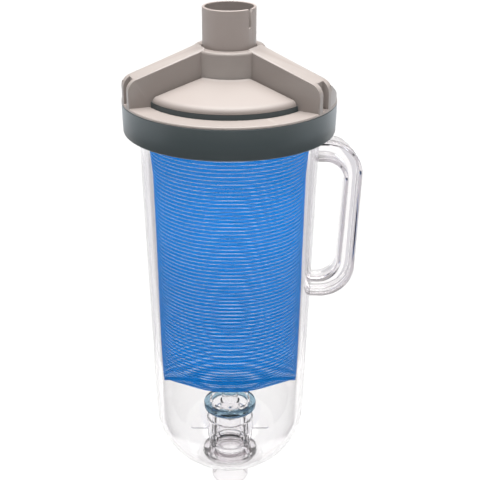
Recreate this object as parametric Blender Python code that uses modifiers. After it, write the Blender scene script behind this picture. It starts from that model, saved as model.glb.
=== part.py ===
"""In-line leaf canister for a pool or pond suction hose, at full size.

World units are metres and +Z is up. The origin is on the canister's axis, at the tip of the outlet spigot.
The lid faces -Y and the carry handle is on +X. Lengths below are millimetres, and MM turns them into metres.
A heading is an angle in degrees from the front, -Y, counted towards +X.
"""

import math

import bmesh
import bpy
from mathutils import Matrix, Vector

MM = 0.001
CLEARANCE = 0.3

# Canister
WALL = 3.0
DOME_TOP_Z = 84.0
DOME_BOTTOM_Z = 19.0
DOME_POWER = 2.0
WALL_RADIUS = 69.3
WALL_DRAFT = 0.0305
RIM_TOP_Z = 371.6
RIM_LOW_Z = 362.0
RIM_RADIUS = 82.5
LEDGE_Z = 364.0
LEDGE_RADIUS = 76.6
FLOOR_Z = 26.0
FLOOR_RADIUS = 27.0
OUTLET_HOLE = 19.7
LUG_RADIUS = 86.3
LUG_SPAN = 18.0
LUG_HEADINGS = (20.0, 140.0, 260.0)

# Lid
LID_HEADING = -5.5
ARM_HEADINGS = (LID_HEADING - 65.0, LID_HEADING + 65.0, LID_HEADING + 180.0)
ARM_HALF_WIDTH = 11.0
ARM_END = 90.4
ARM_TOP_Z = 425.4
ARM_SLOPE = 0.36
COLLAR_RADIUS = 91.0
COLLAR_TOP_Z = 380.7
COLLAR_LOW_Z = 354.5
PLATFORM_Z = 383.0
PANEL_RADIUS = 72.7
PANEL_GAP = 0.9
PANEL_SLOPE = 0.32
HUB_RADIUS = 30.4
HUB_TOP_Z = 426.2
HUB_FOOT_Z = 405.0
LOCK_ANGLE = 35.0

# Hose fittings
CUFF_RADIUS = 22.5
CUFF_BORE = 20.3
CUFF_TOP_Z = 458.7
CUFF_FOOT_Z = 397.5
SLOT_HEADING = 49.0
SPIGOT_RADIUS = 19.0
SPIGOT_TIP_RADIUS = 17.3
SPIGOT_BORE = 15.0

# Bag
BAG_RADIUS = 63.5
BAG_DRAFT = 0.0167
BAG_END_Z = 106.0
BAG_SAG = 4.0
BAG_TOP_Z = 349.7
BAG_ROUND_Z = 160.0
BAG_WALL = 1.0
SEAM_HEIGHT = 3.0

# Outlet guard
GUARD_RING_Z = (78.7, 84.7)
GUARD_RING_RADII = (19.5, 24.6)
POST_RADII = (9.2, 7.5)
TAB_HEADINGS = (90.0, -90.0)
LEG_HEADINGS = (45.0, 135.0, -45.0, -135.0)
WINDOW_HEADINGS = (50.0, 130.0, -50.0, -130.0)

# Carry handle: the bow's outer corners, its inner corners, and the rails along both edges
HANDLE_ROOT_X = 70.0
HANDLE_OUTER = {"x_top": 116.3, "x_low": 110.3, "z_top": 345.0, "z_low": 199.0, "radius": 30.0}
HANDLE_INNER = {"x_top": 100.8, "x_low": 95.2, "z_top": 327.0, "z_low": 216.5, "radius": 18.0}
RAIL = 3.6
RAIL_HALF_WIDTH = 10.0
WEB_HALF_WIDTH = 2.0


def clear_scene():
    for old in list(bpy.data.objects):
        bpy.data.objects.remove(old)


def new_collection(name):
    made = bpy.data.collections.new(name)
    bpy.context.scene.collection.children.link(made)
    return made


def new_material(name, color, roughness, metallic=0.0, transmission=0.0):
    made = bpy.data.materials.new(name)
    made.use_nodes = True
    shader = made.node_tree.nodes["Principled BSDF"]
    shader.inputs["Base Color"].default_value = (*color, 1.0)
    shader.inputs["Roughness"].default_value = roughness
    shader.inputs["Metallic"].default_value = metallic
    shader.inputs["Transmission Weight"].default_value = transmission
    return made


def heading(degrees):
    """The turn about +Z that takes the front, -Y, to this heading."""
    return Matrix.Rotation(math.radians(degrees), 4, "Z")


def upright(degrees=0.0):
    """Takes an outline drawn as (radius, height) to the vertical plane at this heading."""
    plane = Matrix(((0, 0, 1, 0), (-1, 0, 0, 0), (0, 1, 0, 0), (0, 0, 0, 1)))
    return heading(degrees) @ plane


def wall_radius(z):
    return WALL_RADIUS + WALL_DRAFT * (z - DOME_TOP_Z)


def panel_z(radius):
    return HUB_FOOT_Z - PANEL_SLOPE * (radius - HUB_RADIUS)


def bag_radius(z):
    return BAG_RADIUS + BAG_DRAFT * (z - BAG_END_Z)


def bag_end_z(x):
    """Height of the bag's sewn end, which sags between its two corners."""
    return BAG_END_Z - BAG_SAG * math.cos(0.5 * math.pi * min(1.0, max(0.0, abs(x) - 10.0) / 38.0)) ** 2


def rounded(corners, steps=5):
    """An outline from (x, y, radius) corners, with each corner that has a radius turned into an arc."""
    points = []
    for i, (x, y, radius) in enumerate(corners):
        if not radius:
            points.append((x, y))
            continue
        here = Vector((x, y))
        before = (Vector(corners[i - 1][:2]) - here).normalized()
        after = (Vector(corners[(i + 1) % len(corners)][:2]) - here).normalized()
        half = before.angle(after) / 2
        middle = here + (before + after).normalized() * radius / math.sin(half)
        first = here + before * radius / math.tan(half) - middle
        turn = first.angle_signed(here + after * radius / math.tan(half) - middle)
        for step in range(steps + 1):
            spoke = first.copy()
            spoke.rotate(Matrix.Rotation(-turn * step / steps, 2))
            points.append(tuple(middle + spoke))
    return points


class Shop:
    """Makes objects and puts pieces and helpers in their collections."""

    def __init__(self, name):
        self.parts = new_collection(name)
        self.helpers = new_collection("cutters")

    def add(self, name, mesh, material=None):
        """A piece when it has a material, and otherwise a hidden helper for a Boolean."""
        made = bpy.data.objects.new(name, mesh)
        if material:
            made.data.materials.append(material)
            self.parts.objects.link(made)
        else:
            made.hide_render = True
            made.display_type = "WIRE"
            self.helpers.objects.link(made)
        return made

    def turned(self, name, outline, material=None, steps=40, closed=True):
        """A turned shape. Its outline runs down the outer side, and closes when it stays off the axis."""
        mesh = bpy.data.meshes.new(name)
        edges = [(i, i + 1) for i in range(len(outline) - 1)]
        if closed:
            edges.append((len(outline) - 1, 0))
        mesh.from_pydata([(r * MM, 0.0, z * MM) for r, z in outline], edges, [])
        made = self.add(name, mesh, material)
        screw = made.modifiers.new("turn", "SCREW")
        screw.steps = steps
        screw.render_steps = steps
        screw.use_merge_vertices = True
        screw.merge_threshold = 0.00001
        return made

    def slab(self, name, outline, half_width, placing, material=None):
        """A flat outline given thickness both ways, in the plane that the placing matrix takes it to."""
        curve = bpy.data.curves.new(name, "CURVE")
        curve.dimensions = "2D"
        curve.fill_mode = "BOTH"
        curve.extrude = half_width * MM
        spline = curve.splines.new("POLY")
        spline.points.add(len(outline) - 1)
        for point, (x, y) in zip(spline.points, outline):
            point.co = (x * MM, y * MM, 0.0, 1.0)
        spline.use_cyclic_u = True
        drawn = bpy.data.objects.new(name + "_outline", curve)
        self.helpers.objects.link(drawn)
        graph = bpy.context.evaluated_depsgraph_get()
        mesh = bpy.data.meshes.new_from_object(drawn.evaluated_get(graph))
        bpy.data.objects.remove(drawn)
        bpy.data.curves.remove(curve)
        shape = bmesh.new()
        shape.from_mesh(mesh)
        bmesh.ops.remove_doubles(shape, verts=shape.verts, dist=0.000001)
        bmesh.ops.transform(shape, matrix=placing, verts=shape.verts)
        bmesh.ops.recalc_face_normals(shape, faces=shape.faces)
        shape.to_mesh(mesh)
        shape.free()
        mesh.name = name
        mesh.materials.clear()
        return self.add(name, mesh, material)

    def box(self, name, size, center, placing=None):
        """A box helper, its size and centre in millimetres, turned by the placing matrix."""
        mesh = bpy.data.meshes.new(name)
        shape = bmesh.new()
        bmesh.ops.create_cube(shape, size=1.0)
        bmesh.ops.scale(shape, vec=Vector(size) * MM, verts=shape.verts)
        bmesh.ops.translate(shape, vec=Vector(center) * MM, verts=shape.verts)
        bmesh.ops.transform(shape, matrix=placing or Matrix.Identity(4), verts=shape.verts)
        shape.to_mesh(mesh)
        shape.free()
        return self.add(name, mesh)

    def arc_block(self, name, radii, low_z, top_z, headings, steps=4, material=None):
        """A curved block between two radii and two headings, its top falling evenly along it."""
        shape = bmesh.new()
        rings = []
        for step in range(steps + 1):
            part = step / steps
            turn = heading(headings[0] + (headings[1] - headings[0]) * part)
            top = top_z[0] + (top_z[1] - top_z[0]) * part
            section = [(radii[0], low_z), (radii[1], low_z), (radii[1], top), (radii[0], top)]
            rings.append([shape.verts.new(turn @ Vector((0, -r, z)) * MM) for r, z in section])
        for near, far in zip(rings, rings[1:]):
            for i in range(4):
                shape.faces.new((near[i], near[i - 1], far[i - 1], far[i]))
        shape.faces.new(rings[0])
        shape.faces.new(rings[-1])
        bmesh.ops.recalc_face_normals(shape, faces=shape.faces)
        mesh = bpy.data.meshes.new(name)
        shape.to_mesh(mesh)
        shape.free()
        return self.add(name, mesh, material)


def combine(piece, other, operation):
    change = piece.modifiers.new(operation.lower() + "_" + other.name, "BOOLEAN")
    change.operation = operation
    change.object = other


def settle(pieces):
    """Turns each piece's modifiers into its own mesh, shaded smooth with its corners kept sharp."""
    graph = bpy.context.evaluated_depsgraph_get()
    finished = [(piece, bpy.data.meshes.new_from_object(piece.evaluated_get(graph))) for piece in pieces]
    for piece, mesh in finished:
        piece.modifiers.clear()
        piece.data = mesh
        mesh.shade_smooth()
        mesh.set_sharp_from_angle(angle=math.radians(32))


def dome(radius, height, low_z, steps=9):
    """The dome's profile from its shoulder down towards the axis, an ellipse when DOME_POWER is 2."""
    points = []
    for step in range(steps + 1):
        angle = math.radians(86) * step / steps
        points.append(
            (
                radius * math.cos(angle) ** (2 / DOME_POWER),
                low_z + height * (1 - math.sin(angle) ** (2 / DOME_POWER)),
            )
        )
    return points


def make_canister(shop, clear):
    outside = dome(WALL_RADIUS, DOME_TOP_Z - DOME_BOTTOM_Z, DOME_BOTTOM_Z)
    inside = dome(WALL_RADIUS - WALL, DOME_TOP_Z - DOME_BOTTOM_Z - WALL, DOME_BOTTOM_Z + WALL)
    outline = [
        (RIM_RADIUS, RIM_TOP_Z),
        (RIM_RADIUS, RIM_LOW_Z),
        (wall_radius(358.0), 358.0),
        *[point for point in outside if point[0] > OUTLET_HOLE + 2],
        (OUTLET_HOLE, DOME_BOTTOM_Z),
        (OUTLET_HOLE, FLOOR_Z),
        (FLOOR_RADIUS, FLOOR_Z),
        *[point for point in reversed(inside) if point[1] > FLOOR_Z + 1],
        (wall_radius(LEDGE_Z) - WALL, LEDGE_Z),
        (LEDGE_RADIUS, LEDGE_Z),
        (LEDGE_RADIUS, RIM_TOP_Z),
    ]
    shell = shop.turned("canister_shell", outline, clear, steps=48)
    for i, middle in enumerate(LUG_HEADINGS):
        ends = (middle - LUG_SPAN / 2, middle + LUG_SPAN / 2)
        lug = shop.arc_block(f"rim_lug_{i}", (RIM_RADIUS - 1, LUG_RADIUS), 363.0, (367.5, 367.5), ends)
        combine(shell, lug, "UNION")
    return shell


def bow(x_top, x_low, z_top, z_low, radius):
    """One edge of the handle's D, from the canister out, down and back."""
    corners = [
        (HANDLE_ROOT_X, z_top, 0),
        (x_top, z_top, radius),
        (x_low, z_low, radius),
        (HANDLE_ROOT_X, z_low, 0),
    ]
    return rounded(corners, steps=7)


def inset(edge, distance):
    """The bow's edge moved inwards, or outwards when the distance is negative."""
    return {
        "x_top": edge["x_top"] - distance,
        "x_low": edge["x_low"] - distance,
        "z_top": edge["z_top"] - distance,
        "z_low": edge["z_low"] + distance,
        "radius": edge["radius"] - distance,
    }


def make_handle(shop, clear):
    side_on = upright(90.0)
    outer_rail = bow(**HANDLE_OUTER) + bow(**inset(HANDLE_OUTER, RAIL))[::-1]
    inner_rail = bow(**inset(HANDLE_INNER, -RAIL)) + bow(**HANDLE_INNER)[::-1]
    web = bow(**inset(HANDLE_OUTER, RAIL / 2)) + bow(**inset(HANDLE_INNER, -RAIL / 2))[::-1]
    handle = shop.slab("carry_handle", web, WEB_HALF_WIDTH, side_on, clear)
    for name, rail in (("outer_rail", outer_rail), ("inner_rail", inner_rail)):
        combine(handle, shop.slab(name, rail, RAIL_HALF_WIDTH, side_on), "UNION")
    low_z, top_z = 180.0, 360.0
    wide_top, wide_low = wall_radius(top_z) + CLEARANCE, wall_radius(low_z) + CLEARANCE
    core = [(0, top_z), (wide_top, top_z), (wide_low, low_z), (0, low_z)]
    combine(handle, shop.turned("handle_root_cut", core, steps=96, closed=False), "DIFFERENCE")
    return handle


def make_collar(shop, slate):
    skirt_inside = 87.4
    riser = (69.9, PANEL_RADIUS - 0.2)
    riser_top = 387.4
    outline = [
        (COLLAR_RADIUS, COLLAR_TOP_Z),
        (COLLAR_RADIUS - 0.7, COLLAR_LOW_Z + 0.9),
        (COLLAR_RADIUS - 1.5, COLLAR_LOW_Z),
        (skirt_inside, COLLAR_LOW_Z),
        (skirt_inside, 378.2),
        (riser[0], 378.2),
        (riser[0], riser_top),
        (riser[1], riser_top),
        (riser[1], COLLAR_TOP_Z),
    ]
    collar = shop.turned("locking_collar", outline, slate, steps=48)
    for i, middle in enumerate(LUG_HEADINGS):
        ends = (middle + LOCK_ANGLE - LUG_SPAN / 2, middle + LOCK_ANGLE + LUG_SPAN / 2)
        lug = shop.arc_block(f"collar_lug_{i}", (83.3, skirt_inside + 1.5), 357.0, (360.5, 360.5), ends)
        combine(collar, lug, "UNION")
    for i, arm in enumerate(ARM_HEADINGS):
        width = 2 * (ARM_HALF_WIDTH + CLEARANCE)
        gap = shop.box(f"riser_gap_{i}", (width, 16, 14), (0, -71, COLLAR_TOP_Z + 7), heading(arm))
        combine(collar, gap, "DIFFERENCE")
    return collar


def arm_outline(near, end, top, foot, radius):
    """Side view of a grip arm as (radius, height), with its top's height given at the hub's wall."""
    return rounded(
        [
            (near, top - ARM_SLOPE * (near - HUB_RADIUS), 0),
            (end, top - ARM_SLOPE * (end - HUB_RADIUS), radius),
            (end, foot, 0),
            (70.0, foot, 0),
            (near, foot + 16.0, 0),
        ]
    )


def make_grip_frame(shop, light):
    platform = [
        (COLLAR_RADIUS - 1.6, PLATFORM_Z),
        (COLLAR_RADIUS - 0.5, PLATFORM_Z - 0.5),
        (COLLAR_RADIUS, PLATFORM_Z - 1.6),
        (COLLAR_RADIUS, COLLAR_TOP_Z + CLEARANCE),
        (PANEL_RADIUS + 0.3, COLLAR_TOP_Z + CLEARANCE),
        (PANEL_RADIUS + 0.3, PLATFORM_Z),
    ]
    hub = [
        (HUB_RADIUS - 2.6, HUB_TOP_Z),
        (HUB_RADIUS - 0.7, HUB_TOP_Z - 0.8),
        (HUB_RADIUS, HUB_TOP_Z - 2.6),
        (HUB_RADIUS, 396.0),
        (27.2, 396.0),
        (27.2, 402.4),
        (CUFF_RADIUS + 0.6, 402.4),
        (CUFF_RADIUS + 0.6, HUB_TOP_Z),
    ]
    frame = shop.turned("grip_frame", platform, light, steps=48)
    for i, arm in enumerate(ARM_HEADINGS):
        outside = arm_outline(near=28.2, end=ARM_END, top=ARM_TOP_Z, foot=PLATFORM_Z - 1.6, radius=11.0)
        inside = arm_outline(near=30.0, end=79.0, top=ARM_TOP_Z - 3, foot=PLATFORM_Z - 6, radius=3.0)
        notch = shop.box(f"arm_notch_{i}", (10.0, 12, 40), (0, -90.5, PLATFORM_Z + 20), heading(arm))
        combine(frame, shop.slab(f"arm_{i}", outside, ARM_HALF_WIDTH, upright(arm)), "UNION")
        combine(frame, shop.slab(f"arm_hollow_{i}", inside, ARM_HALF_WIDTH - 3, upright(arm)), "DIFFERENCE")
        combine(frame, notch, "DIFFERENCE")
    for side, arm in ((-1, ARM_HEADINGS[0]), (1, ARM_HEADINGS[1])):
        ends = (arm + side * 6.5, arm + side * 28)
        lug = shop.arc_block(f"arm_buttress_{side}", (84.0, 90.4), PLATFORM_Z - 1, (402.0, 385.0), ends)
        combine(frame, lug, "UNION")
    combine(frame, shop.turned("hub", hub, steps=36), "UNION")
    bore_radius = CUFF_RADIUS + 0.6
    bore = [(0, 430), (bore_radius, 430), (bore_radius, 402.4), (27.2, 402.4), (27.2, 380), (0, 380)]
    combine(frame, shop.turned("hub_bore", bore, steps=36, closed=False), "DIFFERENCE")
    return frame


def make_panel(shop, name, arms, light):
    """A sloping wedge panel, whose two sides run parallel to the arms that it fits between."""
    thickness = 2.6
    edge = PANEL_RADIUS
    outline = [
        (HUB_RADIUS + PANEL_GAP, panel_z(HUB_RADIUS + PANEL_GAP)),
        (edge - 3.6, panel_z(edge - 3.6)),
        (edge - 1.2, panel_z(edge - 1.2) - 0.7),
        (edge - 0.2, panel_z(edge) - 2.2),
        (edge, 387.7),
        (edge - thickness, 387.7),
        (edge - thickness - 1, panel_z(edge) - thickness),
        (HUB_RADIUS + PANEL_GAP, panel_z(HUB_RADIUS) - thickness),
    ]
    panel = shop.turned(name, outline, light, steps=48)
    side = ARM_HALF_WIDTH + PANEL_GAP
    directions = [heading(angle) @ Vector((0, -1, 0)) for angle in arms]
    span = math.radians(arms[1] - arms[0])
    middle = heading((arms[0] + arms[1]) / 2) @ Vector((0, -1, 0))
    apex = middle * side / math.sin(span / 2)
    reach = 250.0
    wedge = [apex, apex + directions[0] * reach, apex + directions[1] * reach]
    placing = Matrix.Translation((0, 0, 400 * MM))
    keep = shop.slab(name + "_wedge", [(p.x, p.y) for p in wedge], 30, placing)
    combine(panel, keep, "INTERSECT")
    return panel


def make_lid_dome(shop, slate):
    outline = [
        (25.4, 394.6),
        (25.4, 391.0),
        (66.0, 380.5),
        (68.5, 377.9),
        (84.0, 377.9),
        (84.0, 374.9),
        (66.0, 374.9),
        (63.5, 377.6),
        (CUFF_BORE, 388.4),
        (CUFF_BORE, 394.6),
    ]
    return shop.turned("lid_dome", outline, slate, steps=40)


def make_hose_cuff(shop, light):
    outline = [
        (CUFF_RADIUS - 0.4, CUFF_TOP_Z),
        (CUFF_RADIUS, CUFF_TOP_Z - 0.5),
        (CUFF_RADIUS, 401.8),
        (26.4, 401.8),
        (26.4, CUFF_FOOT_Z),
        (CUFF_BORE, CUFF_FOOT_Z),
        (CUFF_BORE, CUFF_TOP_Z),
    ]
    cuff = shop.turned("hose_cuff", outline, light, steps=36)
    slot = shop.box("cuff_slot_cut", (3.0, 8, 20), (0, -CUFF_RADIUS, CUFF_TOP_Z - 6), heading(SLOT_HEADING))
    combine(cuff, slot, "DIFFERENCE")
    return cuff


def ring(shop, name, radii, heights, material, steps=40):
    """A plain ring of rectangular section."""
    (inner, outer), (low, top) = radii, heights
    outline = [(outer, top), (outer, low), (inner, low), (inner, top)]
    return shop.turned(name, outline, material, steps=steps)


def make_bag_ring(shop, material):
    outline = [(76.2, 367.4), (76.2, 364.3), (73.2, 364.3), (73.2, 352.0), (70.6, 352.0), (70.6, 367.4)]
    return shop.turned("bag_ring", outline, material, steps=40)


def bag_section(down, shrink, sides):
    """One ring of the bag, round above BAG_ROUND_Z and flattening from there (down = 0) to the end (1)."""
    points = []
    for side in range(sides):
        angle = 2 * math.pi * side / sides
        x_part, y_part = math.cos(angle), math.sin(angle)
        end_z = bag_end_z((BAG_RADIUS - shrink) * x_part) + SEAM_HEIGHT + CLEARANCE + 3 * shrink
        z = BAG_ROUND_Z + (end_z - BAG_ROUND_Z) * down
        radius = bag_radius(z) - shrink
        depth = max(radius * math.sqrt(1 - down * down), 1.6 - 0.6 * shrink)
        points.append((radius * x_part, depth * y_part, z))
    return points


def bag_rings(shrink, sides):
    """The bag's rings from its mouth to its sewn end."""
    rings = []
    for z in (BAG_TOP_Z, 255.0):
        radius = bag_radius(z) - shrink
        angles = [2 * math.pi * side / sides for side in range(sides)]
        rings.append([(radius * math.cos(a), radius * math.sin(a), z) for a in angles])
    for down in (0.0, 0.3, 0.55, 0.74, 0.87, 0.95, 0.985, 1.0):
        rings.append(bag_section(down, shrink, sides))
    return rings


def make_bag(shop, mesh_cloth):
    sides = 32
    shape = bmesh.new()
    skins = []
    for shrink in (0.0, BAG_WALL):
        rings = bag_rings(shrink, sides)
        skins.append([[shape.verts.new(Vector(p) * MM) for p in points] for points in rings])
    for skin in skins:
        for upper, lower in zip(skin, skin[1:]):
            for i in range(sides):
                shape.faces.new((upper[i - 1], upper[i], lower[i], lower[i - 1]))
        for i in range(sides // 2):
            across = dict.fromkeys((i, i + 1, sides - i - 1, (sides - i) % sides))
            shape.faces.new([skin[-1][corner] for corner in across])
    outer_mouth, inner_mouth = skins[0][0], skins[1][0]
    for i in range(sides):
        shape.faces.new((outer_mouth[i], outer_mouth[i - 1], inner_mouth[i - 1], inner_mouth[i]))
    bmesh.ops.triangulate(shape, faces=shape.faces)
    bmesh.ops.dissolve_degenerate(shape, dist=0.000001, edges=shape.edges)
    bmesh.ops.recalc_face_normals(shape, faces=shape.faces)
    mesh = bpy.data.meshes.new("mesh_bag")
    shape.to_mesh(mesh)
    shape.free()
    return shop.add("mesh_bag", mesh, mesh_cloth)


def make_bag_seam(shop, mesh_cloth):
    """The folded seam along the bag's end, a strip that follows the end's sag."""
    steps = 16
    half = BAG_RADIUS - 1.5
    xs = [half * (2 * i / steps - 1) for i in range(steps + 1)]
    top = [(x, bag_end_z(x) + SEAM_HEIGHT) for x in xs]
    low = [(x, bag_end_z(x)) for x in reversed(xs)]
    return shop.slab("bag_bottom_seam", top + low, 0.9, upright(90.0), mesh_cloth)


def make_spigot(shop, clear):
    outline = [
        (SPIGOT_TIP_RADIUS + 0.9, 18.0),
        (SPIGOT_TIP_RADIUS, 0.0),
        (SPIGOT_BORE, 0.0),
        (SPIGOT_BORE, 31.4),
        (26.0, 31.4),
        (26.0, 28.5),
        (SPIGOT_RADIUS, 28.5),
        (SPIGOT_RADIUS, 18.0),
    ]
    return shop.turned("outlet_spigot", outline, clear, steps=36)


def make_guard_cage(shop, clear):
    top_z = GUARD_RING_Z[1] + 1.3
    drum_inside, drum_outside = 14.8, 16.8
    outline = [
        (22.0, 68.0),
        (22.0, 53.0),
        (20.2, 40.0),
        (drum_outside, 40.0),
        (drum_outside, 33.0),
        (drum_inside, 33.0),
        (drum_inside, 74.0),
        (17.2, 77.0),
        (17.2, top_z),
        (19.2, top_z),
        (19.2, GUARD_RING_Z[0] - CLEARANCE),
        (21.0, GUARD_RING_Z[0] - CLEARANCE),
        (21.0, 76.6),
        (drum_outside, 73.0),
        (drum_outside, 42.6),
        (18.4, 42.6),
        (20.3, 53.0),
        (20.3, 68.0),
    ]
    cage = shop.turned("guard_cage", outline, clear, steps=32)
    for i, tab in enumerate(TAB_HEADINGS):
        fin = [(21.0, 68.0), (34.0, 68.0), (38.0, 53.0), (21.0, 53.0)]
        combine(cage, shop.slab(f"thumb_tab_{i}", fin, 1.2, upright(tab)), "UNION")
    for i, leg in enumerate(LEG_HEADINGS):
        rib = [(19.4, 56.0), (23.4, 54.0), (29.5, 32.0), (26.5, 32.0), (19.0, 42.0)]
        combine(cage, shop.slab(f"leg_{i}", rib, 1.5, upright(leg)), "UNION")
    for i, window in enumerate(WINDOW_HEADINGS):
        cutter = shop.box(f"window_{i}", (6.4, 8, 24), (0, -drum_outside, 61), heading(window))
        reach = [(0, 80), (drum_outside + 1.2, 80), (drum_outside + 1.2, 40), (0, 40)]
        combine(cutter, shop.turned(f"window_reach_{i}", reach, closed=False), "INTERSECT")
        combine(cage, cutter, "DIFFERENCE")
    return cage


def make_guard_post(shop, clear):
    top_z = bag_end_z(0) - 1.0
    outline = [
        (0, top_z),
        (POST_RADII[1], top_z),
        (POST_RADII[1], GUARD_RING_Z[1]),
        (POST_RADII[0], GUARD_RING_Z[1]),
        (POST_RADII[0], 71.0),
        (0, 71.0),
    ]
    post = shop.turned("guard_post", outline, clear, steps=24, closed=False)
    for i, turn in enumerate((0, 90)):
        arm = shop.box(f"post_arm_{i}", (2.0, 28.6, 3.0), (0, 0, 72.5), heading(turn))
        combine(post, arm, "UNION")
    return post


def joint_empty(name, z, pieces, parent=None):
    """An empty on the joint's axis that carries the pieces that move together."""
    made = bpy.data.objects.new(name, None)
    made.location = (0, 0, z * MM)
    made.empty_display_size = 0.03
    bpy.context.scene.collection.objects.link(made)
    if parent:
        made.parent = parent
        made.location.z -= parent.matrix_world.translation.z
    bpy.context.view_layer.update()
    for piece in pieces:
        piece.parent = made
        piece.matrix_parent_inverse = made.matrix_world.inverted()
    return made


def main():
    clear_scene()
    shop = Shop("leaf_canister")
    clear = new_material("clear_plastic", (0.90, 0.92, 0.93), 0.06, transmission=0.95)
    light = new_material("light_grey_plastic", (0.47, 0.42, 0.39), 0.38)
    slate = new_material("slate_grey_plastic", (0.10, 0.12, 0.13), 0.36)
    cloth = new_material("blue_mesh_cloth", (0.03, 0.17, 0.52), 0.75)
    rubber = new_material("black_rubber", (0.02, 0.02, 0.02), 0.70)
    smoke = new_material("smoke_blue_plastic", (0.05, 0.10, 0.15), 0.15, transmission=0.6)
    hoop = new_material("white_plastic", (0.75, 0.76, 0.76), 0.45)

    canister = [
        make_canister(shop, clear),
        make_handle(shop, clear),
        make_bag_ring(shop, hoop),
        ring(shop, "bag_top_hem", (68.4, 70.3), (350.0, 366.0), cloth),
        make_bag(shop, cloth),
        make_bag_seam(shop, cloth),
        make_guard_cage(shop, clear),
        ring(shop, "guard_ring", GUARD_RING_RADII, GUARD_RING_Z, smoke, steps=32),
        make_guard_post(shop, clear),
    ]
    lid = [
        make_lid_dome(shop, slate),
        ring(shop, "lid_seal", (77.0, 82.0), (RIM_TOP_Z + CLEARANCE, 374.6), rubber),
        ring(shop, "cuff_seal", (20.8, 24.8), (394.9, CUFF_FOOT_Z - CLEARANCE), rubber, steps=32),
    ]
    front, right, back = ARM_HEADINGS
    lock_ring = [
        make_collar(shop, slate),
        make_grip_frame(shop, light),
        make_panel(shop, "panel_front", (front, right), light),
        make_panel(shop, "panel_right", (right, back), light),
        make_panel(shop, "panel_left", (back, front + 360), light),
    ]
    cuff = [make_hose_cuff(shop, light)]
    spigot = [
        make_spigot(shop, clear),
        ring(shop, "spigot_seal", (20.6, 25.4), (FLOOR_Z + CLEARANCE, 28.2), clear, steps=32),
    ]
    settle(canister + lid + lock_ring + cuff + spigot)

    lid_lift = joint_empty("lid_lift_axis", RIM_TOP_Z, lid)
    joint_empty("lock_turn_axis", COLLAR_TOP_Z, lock_ring, parent=lid_lift)
    joint_empty("cuff_swivel_axis", CUFF_FOOT_Z, cuff, parent=lid_lift)
    joint_empty("outlet_swivel_axis", FLOOR_Z, spigot)


main()
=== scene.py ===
"""The finished look of an in-line leaf canister: clear body, blue mesh bag and grey twist-lock lid.

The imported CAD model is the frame. It is in metres with +Z up, the lid faces -Y and the handle is on +X.
Lengths below are millimetres, and MM turns them into metres. A heading is an angle in degrees from -Y
towards +X. The studio's own places and sizes are metres.
"""

import math

import bmesh
import bpy
from mathutils import Matrix, Vector


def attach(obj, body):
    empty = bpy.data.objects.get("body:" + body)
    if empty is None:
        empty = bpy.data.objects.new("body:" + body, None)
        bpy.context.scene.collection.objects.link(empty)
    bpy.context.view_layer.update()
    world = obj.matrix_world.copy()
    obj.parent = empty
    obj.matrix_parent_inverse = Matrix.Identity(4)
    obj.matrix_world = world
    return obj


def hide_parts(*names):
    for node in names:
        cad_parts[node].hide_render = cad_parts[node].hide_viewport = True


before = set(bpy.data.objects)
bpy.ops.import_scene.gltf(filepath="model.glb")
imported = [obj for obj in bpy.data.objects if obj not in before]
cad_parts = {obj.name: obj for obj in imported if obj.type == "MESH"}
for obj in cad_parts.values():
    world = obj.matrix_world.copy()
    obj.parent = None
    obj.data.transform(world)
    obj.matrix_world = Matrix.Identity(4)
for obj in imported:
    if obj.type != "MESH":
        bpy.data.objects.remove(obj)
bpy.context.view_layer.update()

MM = 0.001

# Canister
WALL = 3.0
DOME_TOP_Z = 84.0
DOME_BOTTOM_Z = 19.0
DOME_POWER = 2.0
DOME_SPAN = 86.0
WALL_RADIUS = 69.3
WALL_DRAFT = 0.0305
RIM_TOP_Z = 371.6
RIM_LOW_Z = 362.0
RIM_RADIUS = 82.5
LEDGE_Z = 364.0
LEDGE_RADIUS = 76.6
FLOOR_Z = 26.0
FLOOR_RADIUS = 27.0
OUTLET_HOLE = 19.7
LUG_RADIUS = 86.3
LUG_SPAN = 18.0
LUG_HEADINGS = (20.0, 140.0, 260.0)

# Lid
LID_HEADING = -5.5
ARM_HEADINGS = (LID_HEADING - 65.0, LID_HEADING + 65.0, LID_HEADING + 180.0)
ARM_HALF_WIDTH = 11.0
ARM_END = 90.4
NOTCH_SIZE = (10.0, 12.0, 40.0)
NOTCH_RADIUS = 90.5
ARM_TOP_Z = 425.4
ARM_SLOPE = 0.36
COLLAR_RADIUS = 91.0
COLLAR_TOP_Z = 380.7
COLLAR_LOW_Z = 354.5
SKIRT_INSIDE = 87.4
SKIRT_LUG_RADIUS = 83.3
UPSTAND_RADIUS = 69.9
UPSTAND_Z = 387.4
PLATFORM_Z = 383.0
PANEL_RADIUS = 72.7
PANEL_SLOPE = 0.32
PANEL_GAP = 0.9
PANEL_FOOT_Z = 387.7
HUB_RADIUS = 30.4
HUB_TOP_Z = 426.2
HUB_FOOT_Z = 405.0
HUB_BORE = 23.1
FLANGE_BORE = 27.2
FLANGE_SEAT_Z = 402.4
LOCK_ANGLE = 35.0
CLEARANCE = 0.3

# Hose fittings
CUFF_RADIUS = 22.5
CUFF_BORE = 20.3
CUFF_TOP_Z = 458.7
CUFF_FOOT_Z = 397.5
CUFF_FLANGE_Z = 401.8
CUFF_FLANGE_RADIUS = 26.4
SLOT_HEADING = 49.0
SPIGOT_RADIUS = 19.0
SPIGOT_TIP_RADIUS = 17.3
SPIGOT_BORE = 15.0
SPIGOT_FLANGE_RADIUS = 26.0
SPIGOT_FLANGE_Z = (28.5, 31.4)

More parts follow.
